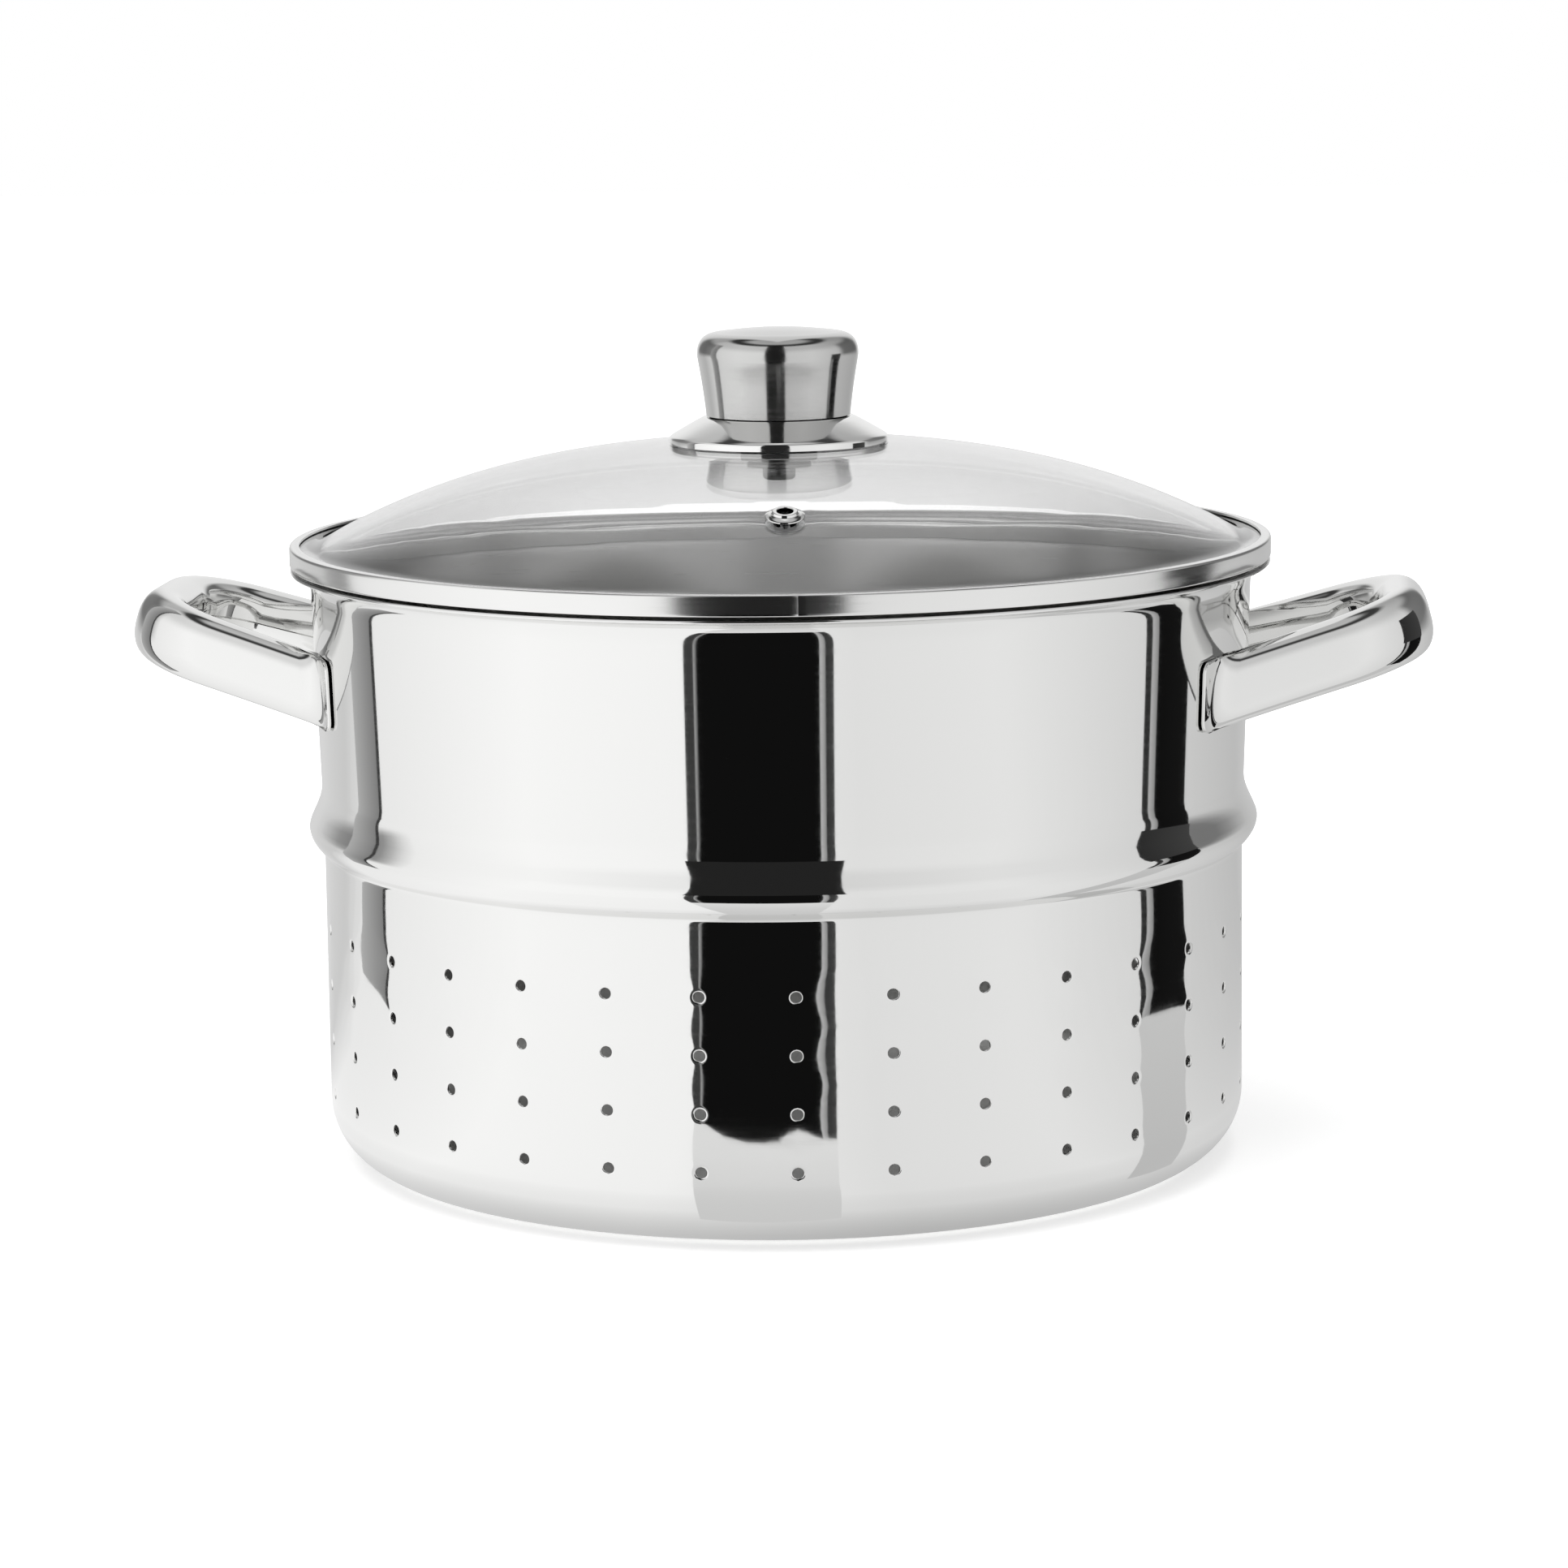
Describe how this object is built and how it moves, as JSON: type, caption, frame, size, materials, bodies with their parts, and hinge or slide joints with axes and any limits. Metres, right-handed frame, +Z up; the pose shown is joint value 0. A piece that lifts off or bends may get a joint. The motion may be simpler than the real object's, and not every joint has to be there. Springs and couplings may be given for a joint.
{
  "type": "steam juicer basket with glass lid",
  "caption": "Perforated stainless fruit basket of a steam juicer, with a seating bead, looped handles and a domed glass lid with a steel knob that lifts off.",
  "frame": {"origin": "middle of the flat base, on the surface that the basket stands on", "axes": "+X towards the right handle, -Y towards the viewer's side with the steam vent, +Z up along the basket's axis"},
  "size_m": [0.365, 0.275, 0.2333],
  "materials": {
    "polished_steel": "mirror-polished stainless steel",
    "plain_steel": "plain turned or stamped stainless steel",
    "glass": "clear tempered soda-lime glass",
    "silicone": "grey food-grade silicone"
  },
  "bodies": {
    "basket": {"basket_shell": "polished_steel", "handle_right": "polished_steel", "handle_left": "polished_steel"},
    "lid": {"lid_glass": "glass", "lid_rim_band": "polished_steel", "vent_eyelet": "polished_steel", "vent_washer": "plain_steel", "knob_skirt": "polished_steel", "knob_cap": "polished_steel", "knob_insert": "plain_steel", "knob_gasket": "silicone", "knob_grommet": "silicone", "knob_washer": "plain_steel", "knob_screw": "plain_steel"}
  },
  "joints": [
    {"name": "lid_lift", "type": "slide", "parent": "basket", "child": "lid", "axis": [0, 0, 1], "range_m": [0, 0.15]}
  ]
}
